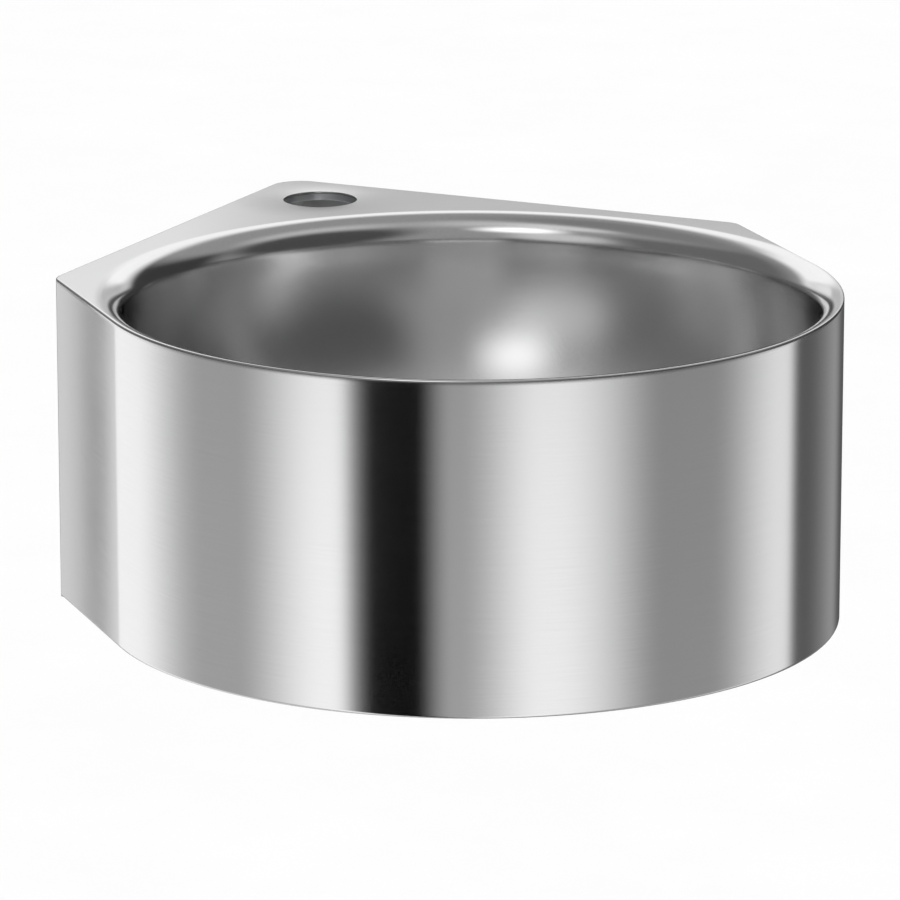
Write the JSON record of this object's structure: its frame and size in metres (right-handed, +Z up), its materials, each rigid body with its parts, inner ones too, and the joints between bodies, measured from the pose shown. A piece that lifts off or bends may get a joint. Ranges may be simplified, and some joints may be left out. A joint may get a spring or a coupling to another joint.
{
  "type": "corner wash basin",
  "caption": "Wall-hung stainless corner hand basin: round bowl, flat deck with a tap hole, tall round-fronted skirt, grated waste and wall hangers.",
  "frame": {"origin": "corner of the room: where the two walls meet at the level of the deck's top face", "axes": "+Z up; the right-hand wall is the plane Y = 0 and the left-hand wall is the plane X = 0; the basin lies at +X and -Y, so its round front faces +X -Y"},
  "size_m": [0.35, 0.35, 0.175],
  "materials": {
    "satin_steel": "satin stainless, grained along the sheet",
    "bowl_steel": "polished stainless",
    "bright_steel": "bright stainless",
    "zinc_plate": "zinc plated",
    "chrome_plate": "chrome plated brass",
    "brass": "turned",
    "black_rubber": "matt",
    "white_plastic": "moulded"
  },
  "bodies": {
    "root": {"deck": "satin_steel", "bowl": "bowl_steel", "skirt": "satin_steel", "tap_ring": "zinc_plate", "sound_pad": "black_rubber", "right_rail": "zinc_plate", "left_rail": "zinc_plate", "right_hanger": "zinc_plate", "left_hanger": "zinc_plate", "earth_tag": "bright_steel", "earth_screw": "brass", "earth_washer": "bright_steel", "earth_nut": "brass", "waste_body": "chrome_plate", "waste_strainer": "bright_steel", "waste_screw": "bright_steel", "waste_top_seal": "black_rubber", "waste_bottom_seal": "black_rubber", "waste_slip_washer": "white_plastic", "waste_backnut": "brass"}
  },
  "joints": []
}
